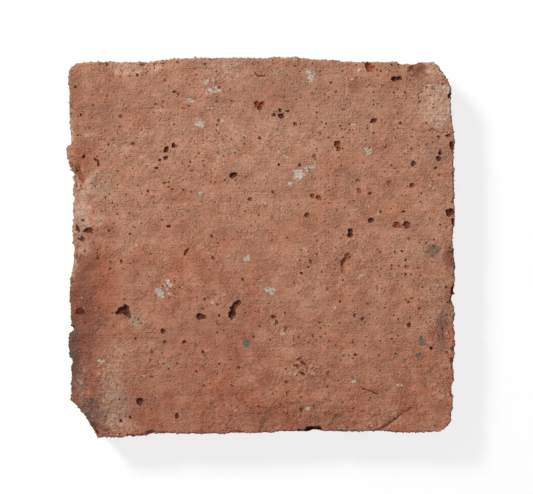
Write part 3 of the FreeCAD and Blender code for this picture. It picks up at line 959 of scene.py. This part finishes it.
    def map_for_bake(self, mesh: bmesh.types.BMesh) -> None:
        """Unfold the block onto one map, the walking face largest.

        Args:
            mesh: the block, before it is worked.
        """
        layer = mesh.loops.layers.uv.new("OFBake")
        length, width = self.length * MM, self.width * MM
        scale, under_scale, gap = 0.0032 / MM, 0.0016 / MM, 0.01
        face_high = gap + width * scale
        column = 2 * gap + length * scale
        strip = self.thickness * MM * scale + gap
        for face in mesh.faces:
            normal = face.normal
            for loop in face.loops:
                x, y, z = loop.vert.co
                x, y = x + length / 2, y + width / 2
                if normal.z > 0.5:
                    spot = (gap + x * scale, gap + y * scale)
                elif normal.z < -0.5:
                    spot = (gap + x * under_scale, face_high + gap + y * under_scale)
                elif abs(normal.x) > 0.5:
                    spot = (column + (strip if normal.x > 0 else 0) + z * scale, gap + y * scale)
                else:
                    spot = (column + strip * (3 if normal.y > 0 else 2) + z * scale,
                            gap + x * scale)
                loop[layer].uv = spot

    def build(self) -> bpy.types.Object:
        """Work the block into the finished tile.

        Returns:
            The tile's object, at the origin, with its marks on its mesh.
        """
        mesh = self.block()
        self.refine(mesh)
        mesh.normal_update()
        self.map_for_bake(mesh)
        clay = Clay(np.array([vertex.co for vertex in mesh.verts]) / MM)
        self.round_arris(clay)
        clay.place = self.outline(clay.place)
        self.chip_arris(clay)
        self.pock_sides(clay)
        self.spall(clay)
        self.sink_pits(clay)
        self.cut_grooves(clay)
        self.stain(clay)
        self.cling(clay)
        self.weather(clay)
        clay.place[:, 2] = np.maximum(clay.place[:, 2], 0)
        for vertex, place in zip(mesh.verts, (clay.place * MM).tolist()):
            vertex.co = place
        data = bpy.data.meshes.new(self.name)
        mesh.to_mesh(data)
        mesh.free()
        data.shade_smooth()
        for mark, values in clay.marks.items():
            layer = data.attributes.new(mark.value, "FLOAT", "POINT")
            layer.data.foreach_set("value", values.astype(np.float32))
        count = sum(len(face.vertices) - 2 for face in data.polygons)
        log.info("%s: %d vertices, %d triangles", self.name, len(data.vertices), count)
        return put_in_scene(self.name, data)


class Graph:
    """The nodes of a material or a world, with one short call for each kind of step."""

    def __init__(self, owner: bpy.types.Material | bpy.types.World) -> None:
        """Start the owner's nodes afresh.

        Args:
            owner: the material or the world.
        """
        owner.use_nodes = True
        self.tree = owner.node_tree
        self.tree.nodes.clear()

    def add(self, kind: str, inputs: dict | None = None, **settings: object) -> bpy.types.Node:
        """Add a node.

        Args:
            kind: the node's type.
            inputs: values or sockets for its inputs, by name or number.
            settings: the node's own settings.

        Returns:
            The node.
        """
        node = self.tree.nodes.new(kind)
        for key, value in settings.items():
            setattr(node, key, value)
        for key, value in (inputs or {}).items():
            if isinstance(value, bpy.types.NodeSocket):
                self.tree.links.new(value, node.inputs[key])
            else:
                node.inputs[key].default_value = value
        return node

    def millimetres(self, stretch: tuple[float, float, float] = (1, 1, 1)) -> bpy.types.NodeSocket:
        """Give the object's own coordinates in millimetres.

        Args:
            stretch: how many times longer a pattern turns out along each axis.

        Returns:
            The coordinates.
        """
        coords = self.add("ShaderNodeTexCoord").outputs["Object"]
        scale = tuple(1 / (MM * part) for part in stretch)
        return self.add("ShaderNodeMapping", {"Vector": coords, "Scale": scale}).outputs[0]

    def noise(self, where: bpy.types.NodeSocket, size: float, detail: float = 2.0,
              roughness: float = 0.5) -> bpy.types.NodeSocket:
        """Make noise from 0 to 1, with lumps of a size."""
        inputs = {"Vector": where, "Scale": 1 / size, "Detail": detail, "Roughness": roughness}
        return self.add("ShaderNodeTexNoise", inputs).outputs[0]

    def shifted(self, where: bpy.types.NodeSocket, by: float) -> bpy.types.NodeSocket:
        """Move coordinates, so that one more noise there is a new one."""
        inputs = {0: where, 1: (by, 0.7 * by, 0.4 * by)}
        return self.add("ShaderNodeVectorMath", inputs, operation="ADD").outputs[0]

    def wobbled(self, where: bpy.types.NodeSocket, size: float,
                amount: float) -> bpy.types.NodeSocket:
        """Wobble coordinates, so that round shapes there turn ragged.

        Args:
            where: the coordinates.
            size: how far across the wobbles are.
            amount: how far they push.

        Returns:
            The wobbled coordinates.
        """
        inputs = {"Vector": where, "Scale": 1 / size, "Detail": 1.0}
        wave = self.add("ShaderNodeTexNoise", inputs).outputs["Color"]
        inputs = {0: wave, 1: (amount, amount, amount), 2: where}
        return self.add("ShaderNodeVectorMath", inputs, operation="MULTIPLY_ADD").outputs[0]

    def math(self, kind: str, first: object, second: object = 0.0,
             clamp: bool = False) -> bpy.types.NodeSocket:
        """Work out one value from two."""
        inputs = {0: first, 1: second}
        return self.add("ShaderNodeMath", inputs, operation=kind, use_clamp=clamp).outputs[0]

    def total(self, kind: str, values: list[bpy.types.NodeSocket]) -> bpy.types.NodeSocket:
        """Work out one value from many, such as their sum or the largest."""
        return functools.reduce(lambda first, second: self.math(kind, first, second), values)

    def span(self, value: object, low: float, high: float, to_low: float = 0.0,
             to_high: float = 1.0) -> bpy.types.NodeSocket:
        """Ease a value from one range to another."""
        inputs = {"Value": value, "From Min": low, "From Max": high, "To Min": to_low,
                  "To Max": to_high}
        return self.add("ShaderNodeMapRange", inputs, interpolation_type="SMOOTHSTEP").outputs[0]

    def swing(self, value: bpy.types.NodeSocket, low: float, high: float) -> bpy.types.NodeSocket:
        """Stretch a noise to a range of its own."""
        return self.span(value, *NOISE_RANGE, low, high)

    def mark(self, mark: Mark) -> bpy.types.NodeSocket:
        """Read one of the clay's marks."""
        return self.add("ShaderNodeAttribute", attribute_name=mark.value).outputs["Fac"]

    def mix(self, share: object, first: object, second: object,
            kind: str = "MIX") -> bpy.types.NodeSocket:
        """Mix two colours."""
        inputs = {0: share, 6: first, 7: second}
        return self.add("ShaderNodeMix", inputs, data_type="RGBA", blend_type=kind).outputs[2]


@dataclass(frozen=True)
class Layer:
    """How one mark shows on the clay: its tone, and how it breaks up into crumbs.

    It begins to show where the mark is above low, and shows most where it is above high.
    """

    mark: Mark
    tone: str
    low: float
    high: float
    most: float
    crumble: float


@dataclass(frozen=True)
class Holes:
    """One scatter of pinholes or flecks: its spacing and its largest radius, in millimetres.

    A share of the places, as high as keep, stays empty, and shift makes the scatter its own.
    """

    spacing: float
    radius: float
    keep: float
    shift: float


@dataclass(frozen=True)
class TerracottaFinish:
    """Fired, unglazed clay: its tones, and the sizes of its mottling and grain."""

    # the first two tones run from front to back: the back one is paler, partly as painted light
    # towards the key light at the back left
    rich: str = "a8674e"
    pale_lit_back: str = "c48f74"
    orange: str = "bd6f4d"
    # a tone that shows at random, and partly painted light where it rises towards the back
    bloom_and_lit_back: str = "ba8c72"
    # painted shade in the pinholes, and in some of them a reddish-brown inside
    hollow_shade: str = "542c26"
    red_hollow_shade: str = "8c4632"
    # painted shade in the crevices of the open clay
    crevice_shade: str = "7c4636"
    lime: str = "cdc3b3"
    slate: str = "8f8682"
    layers: tuple[Layer, ...] = (
        Layer(Mark.SALLOW, "a88f76", 0.1, 1.0, 0.75, 0.9),
        Layer(Mark.EMBER, "a35437", 0.1, 1.0, 0.8, 0.5),
        Layer(Mark.BURNT, "86503e", 0.1, 1.0, 0.8, 0.4),
        Layer(Mark.SOOT, "5e504a", 0.15, 1.0, 0.75, 0.8),
        Layer(Mark.PALE, "cda38b", 0.15, 0.95, 0.75, 0.6),
        Layer(Mark.MORTAR, "a4907c", 0.35, 1.0, 0.68, 1.0),
        Layer(Mark.LIME, "c9bfaf", 0.3, 0.7, 0.85, 1.3),
        Layer(Mark.STONE, "75685b", 0.35, 0.6, 0.95, 0.4),
        # painted shade in pits, pinholes, chips, pocks and cracks, with the dark clay inside the
        # pits
        Layer(Mark.HOLLOW_SHADE, "592b24", 0.15, 0.85, 0.92, 0.5),
        Layer(Mark.RUST, "a4502f", 0.15, 0.85, 0.8, 0.5),
    )
    holes: tuple[Holes, ...] = (
        Holes(7.0, 0.80, 0.45, 0.0),
        Holes(3.6, 0.60, 0.52, 40.0),
        Holes(2.1, 0.44, 0.7, 80.0),
    )
    flecks: tuple[Holes, ...] = (Holes(9.5, 0.75, 0.5, 120.0), Holes(4.6, 0.42, 0.6, 160.0))
    hole_edge: float = 0.14
    crumb_sizes: tuple[tuple[float, float, float], ...] = (
        (5.0, 0.6, 240.0), (3.0, 0.55, 280.0), (1.9, 0.8, 320.0), (1.1, 0.8, 360.0))
    cloud_size: float = 40.0
    hue_size: float = 26.0
    mottle_size: float = 8.0
    speckle_size: float = 2.0
    grain_size: float = 0.9
    fleck_share: float = 0.6
    hole_share: float = 0.9
    hole_depth: float = 0.3
    crevice_depth: float = 0.2
    strike_size: tuple[float, float, float] = (26, 1.4, 4)
    drag_size: tuple[float, float, float] = (70, 1.8, 4)
    roughness: float = 0.92
    specular: float = 0.2

    def build(self) -> bpy.types.Material:
        """Make the material.

        Returns:
            The material.
        """
        material = bpy.data.materials.new(SLOT)
        graph = Graph(material)
        where = graph.millimetres()
        cloud = graph.noise(where, self.cloud_size, 3.0)
        hue = graph.noise(graph.shifted(where, 210.0), self.hue_size, 4.0, 0.6)
        mottle = graph.noise(where, self.mottle_size, 4.0, 0.6)
        speckle = graph.noise(where, self.speckle_size, 3.0, 0.65)
        grain = graph.noise(where, self.grain_size, 2.0, 0.7)
        rough = graph.mark(Mark.ROUGH)
        color = self.clay(graph, where, cloud, hue, mottle)
        color = self.marked(graph, color, mottle, speckle)
        wobble = graph.wobbled(where, size=1.3, amount=1.1)
        flecks, kind = self.scatter(graph, wobble, self.flecks)
        fleck = graph.mix(graph.span(kind, 0.3, 0.5), linear(self.lime), linear(self.slate))
        color = graph.mix(graph.math("MULTIPLY", flecks, self.fleck_share), color, fleck)
        flank = graph.math("SUBTRACT", 1.0, graph.mark(Mark.STRUCK))
        open_clay = graph.math("MAXIMUM", graph.math("MULTIPLY", rough, 0.45),
                               graph.math("MULTIPLY", flank, 0.6))
        # painted shade in the crevices, where the clay is rough and on the sides; they are sunk in
        # the bump too
        crevice_shade = graph.math("MULTIPLY", graph.span(speckle, 0.44, 0.30), open_clay)
        color = graph.mix(crevice_shade, color, linear(self.crevice_shade))
        # painted shade in the pinholes, reddish-brown in some of them; they are sunk in the bump
        # too
        holes, kind = self.scatter(graph, wobble, self.holes)
        deep = graph.mix(graph.span(kind, 0.2, 0.5), linear(self.hollow_shade), linear(self.red_hollow_shade))
        color = graph.mix(graph.math("MULTIPLY", holes, self.hole_share), color, deep)
        value = graph.math("ADD", graph.swing(grain, 0.8, 1.1), graph.swing(speckle, -0.08, 0.08))
        shade = graph.add("ShaderNodeCombineColor", {0: value, 1: value, 2: value}).outputs[0]
        color = graph.mix(1.0, color, shade, "MULTIPLY")
        height = self.relief(graph, wobble, grain, speckle, rough)
        for sunk, depth in ((holes, self.hole_depth), (crevice_shade, self.crevice_depth)):
            height = graph.math("SUBTRACT", height, graph.math("MULTIPLY", sunk, depth))
        inputs = {"Height": height, "Distance": MM, "Strength": 1.0}
        normal = graph.add("ShaderNodeBump", inputs).outputs[0]
        inputs = {"Base Color": color, "Normal": normal, "Roughness": self.roughness,
                  "Specular IOR Level": self.specular}
        shader = graph.add("ShaderNodeBsdfPrincipled", inputs).outputs[0]
        graph.add("ShaderNodeOutputMaterial", {"Surface": shader})
        return material

    def clay(self, graph: Graph, where: bpy.types.NodeSocket, cloud: bpy.types.NodeSocket,
             hue: bpy.types.NodeSocket, mottle: bpy.types.NodeSocket) -> bpy.types.NodeSocket:
        """Colour the bare clay, richer and darker at the front and paler past the middle, partly as
        painted light falling off away from the key light at the back left.

        Args:
            graph: the material's nodes.
            where: coordinates in millimetres.
            cloud: slow noise.
            hue: slow noise of its own.
            mottle: mottling.

        Returns:
            The clay's colour.
        """
        across = graph.add("ShaderNodeSeparateXYZ", {0: where}).outputs[1]
        # darker towards the front: partly the clay's own tone, partly painted light falling off
        # away from the key light at the back left
        tone = graph.span(across, -105, 30, 0.24, 0.64)
        tone = graph.math("ADD", tone, graph.swing(cloud, -0.25, 0.25))
        tone = graph.math("ADD", tone, graph.swing(mottle, -0.28, 0.28), clamp=True)
        color = graph.mix(tone, linear(self.rich), linear(self.pale_lit_back))
        color = graph.mix(graph.span(hue, 0.52, 0.72, 0.0, 0.4), color, linear(self.orange))
        # the bloom tone shows at random, and rises towards the back, which is partly painted light
        bloom_and_lit_back = graph.math("ADD", graph.span(hue, 0.5, 0.28, 0.0, 0.3),
                           graph.span(across, -30, 90, 0.0, 0.3))
        return graph.mix(bloom_and_lit_back, color, linear(self.bloom_and_lit_back))

    def marked(self, graph: Graph, color: bpy.types.NodeSocket, mottle: bpy.types.NodeSocket,
               speckle: bpy.types.NodeSocket) -> bpy.types.NodeSocket:
        """Lay each mark's colour over the clay, broken up by the mottling and the speckle.

        Args:
            graph: the material's nodes.
            color: the clay's colour.
            mottle: mottling.
            speckle: finer mottling.

        Returns:
            The colour with its marks.
        """
        crumbs = graph.math("ADD", graph.swing(mottle, -0.2, 0.2), graph.swing(speckle, -0.4, 0.4))
        for layer in self.layers:
            amount = graph.mark(layer.mark)
            present = graph.span(amount, 0.0, 0.2, 0.0, layer.crumble)
            broken = graph.math("ADD", amount, graph.math("MULTIPLY", crumbs, present))
            share = graph.span(broken, layer.low, layer.high, 0.0, layer.most)
            color = graph.mix(share, color, linear(layer.tone))
        return color

    def scatter(self, graph: Graph, where: bpy.types.NodeSocket, scatters: tuple[Holes, ...],
                ) -> tuple[bpy.types.NodeSocket, bpy.types.NodeSocket]:
        """Scatter small round places of many sizes over the clay.

        Args:
            graph: the material's nodes.
            where: coordinates in millimetres.
            scatters: the spacing and sizes of each scatter.

        Returns:
            1 in a place and 0 beside it, and a random value for each place.
        """
        places, kinds = [], []
        for item in scatters:
            spot = graph.shifted(where, item.shift)
            crowd = graph.span(graph.noise(spot, 34.0), 0.38, 0.62, 0.35, 1.15)
            cells = graph.add("ShaderNodeTexVoronoi", {"Vector": spot, "Scale": 1 / item.spacing},
                              voronoi_dimensions="2D")
            chance = graph.add("ShaderNodeSeparateColor", {0: cells.outputs["Color"]})
            reach = graph.span(chance.outputs[0], item.keep, 1.0, 0.0, item.radius / item.spacing)
            reach = graph.math("MULTIPLY", reach, crowd)
            inside = graph.math("SUBTRACT", reach, cells.outputs["Distance"])
            hole = graph.math("MULTIPLY", inside, item.spacing / self.hole_edge, clamp=True)
            places.append(hole)
            kinds.append(graph.math("MULTIPLY", hole, chance.outputs[1]))
        shown = graph.math("MULTIPLY", graph.total("MAXIMUM", places), graph.mark(Mark.STRUCK))
        return shown, graph.total("MAXIMUM", kinds)

    def relief(self, graph: Graph, where: bpy.types.NodeSocket, grain: bpy.types.NodeSocket,
               speckle: bpy.types.NodeSocket, rough: bpy.types.NodeSocket) -> bpy.types.NodeSocket:
        """Work out the height of the finest relief, in millimetres.

        Args:
            graph: the material's nodes.
            where: coordinates in millimetres, wobbled.
            grain: sandy grain.
            speckle: finer mottling.
            rough: where the face is crumbly.

        Returns:
            The height.
        """
        strike = graph.noise(graph.millimetres(self.strike_size), 1.0, 2.0, 0.6)
        strike = graph.span(strike, 0.3, 0.7, -0.05, 0.05)
        drag = graph.noise(graph.millimetres(self.drag_size), 1.0, 1.0, 0.4)
        strike = graph.math("SUBTRACT", strike, graph.span(drag, 0.6, 0.8, 0.0, 0.1))
        strike = graph.math("MULTIPLY", strike, graph.mark(Mark.STRUCK))
        coarse = graph.math("ADD", graph.math("MULTIPLY", rough, 0.8), 0.22)
        sandy = graph.span(graph.noise(where, 7.0, 1.0), 0.35, 0.65, 0.45, 1.2)
        height = graph.math("ADD", graph.math("MULTIPLY", grain, sandy),
                            graph.math("MULTIPLY", speckle, coarse))
        return graph.math("ADD", graph.math("ADD", height, strike), self.crumbs(graph, where))

    def crumbs(self, graph: Graph, where: bpy.types.NodeSocket) -> bpy.types.NodeSocket:
        """Raise small crumbs of clay and press small dents among them, in millimetres.

        Args:
            graph: the material's nodes.
            where: coordinates in millimetres, wobbled.

        Returns:
            The height.
        """
        heights = []
        for spacing, rise, shift in self.crumb_sizes:
            inputs = {"Vector": graph.shifted(where, shift), "Scale": 1 / spacing}
            cells = graph.add("ShaderNodeTexVoronoi", inputs)
            chance = graph.add("ShaderNodeSeparateColor", {0: cells.outputs["Color"]})
            reach = graph.span(chance.outputs[0], 0.2, 1.0, 0.12, 0.42)
            near = graph.math("DIVIDE", cells.outputs["Distance"], reach)
            dome = graph.span(near, 1.0, 0.0)
            tall = graph.span(chance.outputs[1], 0.0, 1.0, -rise, rise)
            heights.append(graph.math("MULTIPLY", graph.math("MULTIPLY", dome, tall), reach))
        return graph.total("ADD", heights)


@dataclass(frozen=True)
class Studio:
    """A pale floor, a soft key light from the back left, an even fill and the camera."""

    floor_reach: float = 8.0
    floor_tone: float = 0.8
    shadow_tone: float = 0.24
    floor_glow: float = 0.78
    fill: float = 0.46
    key_level: float = 0.62
    key_distance: float = 2.2
    key_size: float = 0.5
    key_azimuth: float = 135.0
    key_height: float = 38.0
    lens: float = 135.0
    sensor: float = 36.0
    view_width: float = 0.2756
    view_shift: tuple[float, float] = (0.0026, 0.0003)

    def background_ray(self, graph: Graph) -> bpy.types.NodeSocket:
        """Tell rays that show the background from rays that light the tile.

        Args:
            graph: the nodes of the floor's material or of the world.

        Returns:
            1 for a ray that shows the background, 0 for any other.
        """
        path = graph.add("ShaderNodeLightPath")
        kinds = ("Is Camera Ray", "Is Glossy Ray", "Is Transmission Ray")
        return graph.total("MAXIMUM", [path.outputs[kind] for kind in kinds])

    def build_floor(self) -> None:
        """Lay a white floor that still takes the tile's shadow."""
        mesh = bmesh.new()
        bmesh.ops.create_grid(mesh, x_segments=1, y_segments=1, size=self.floor_reach)
        data = bpy.data.meshes.new("studio_floor")
        mesh.to_mesh(data)
        mesh.free()
        paper = bpy.data.materials.new("floor_paper")
        graph = Graph(paper)
        plain, shaded = [graph.add("ShaderNodeBsdfDiffuse", {"Color": (tone, tone, tone, 1)})
                         for tone in (self.floor_tone, self.shadow_tone)]
        glow = graph.add("ShaderNodeEmission", {"Strength": self.floor_glow})
        white = graph.add("ShaderNodeAddShader", {0: shaded.outputs[0], 1: glow.outputs[0]})
        inputs = {0: self.background_ray(graph), 1: plain.outputs[0], 2: white.outputs[0]}
        shader = graph.add("ShaderNodeMixShader", inputs).outputs[0]
        graph.add("ShaderNodeOutputMaterial", {"Surface": shader})
        data.materials.append(paper)
        put_in_scene("studio_floor", data)

    def light(self, aim: Vector) -> None:
        """Hang the key light and set the even fill.

        Args:
            aim: the middle of the tile.
        """
        azimuth, height = math.radians(self.key_azimuth), math.radians(self.key_height)
        way = Vector((math.cos(azimuth) * math.cos(height), math.sin(azimuth) * math.cos(height),
                      math.sin(height)))
        lamp = bpy.data.lights.new("key_light", "AREA")
        lamp.shape = "DISK"
        lamp.size = self.key_size
        lamp.energy = self.key_level * math.pi ** 2 * self.key_distance ** 2 / way.z
        key = put_in_scene("key_light", lamp)
        key.location = aim + way * self.key_distance
        key.rotation_euler = way.to_track_quat("Z", "Y").to_euler()
        world = bpy.data.worlds.new("studio_air")
        graph = Graph(world)
        inputs = {"Value": self.background_ray(graph), "To Min": self.fill}
        strength = graph.add("ShaderNodeMapRange", inputs).outputs[0]
        air = graph.add("ShaderNodeBackground", {"Strength": strength}).outputs[0]
        graph.add("ShaderNodeOutputWorld", {"Surface": air})
        bpy.context.scene.world = world

    def place_camera(self, top: float) -> None:
        """Look straight down on the tile from far above.

        Args:
            top: height of the walking face.
        """
        data = bpy.data.cameras.new("camera")
        data.lens = self.lens
        data.sensor_width = self.sensor
        camera = put_in_scene("camera", data)
        rise = self.view_width * self.lens / self.sensor
        camera.location = (*self.view_shift, top + rise)
        bpy.context.scene.camera = camera


def main() -> None:
    """Build the tile, dress it, and set it in the studio."""
    logging.basicConfig(level=logging.INFO, format="%(message)s", force=True)
    bpy.context.scene.view_settings.view_transform = "Standard"
    low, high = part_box(NODE)
    size = (high - low) / MM
    tile = FiredTile(size.x, size.y, size.z).build()
    tile.data.materials.append(TerracottaFinish().build())
    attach(tile, BODY)
    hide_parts(NODE)
    studio = Studio()
    studio.build_floor()
    studio.light(Vector((0, 0, high.z)))
    studio.place_camera(high.z)
    log.info("tile, floor, lights and camera are in place")


if __name__ == "__main__":
    main()
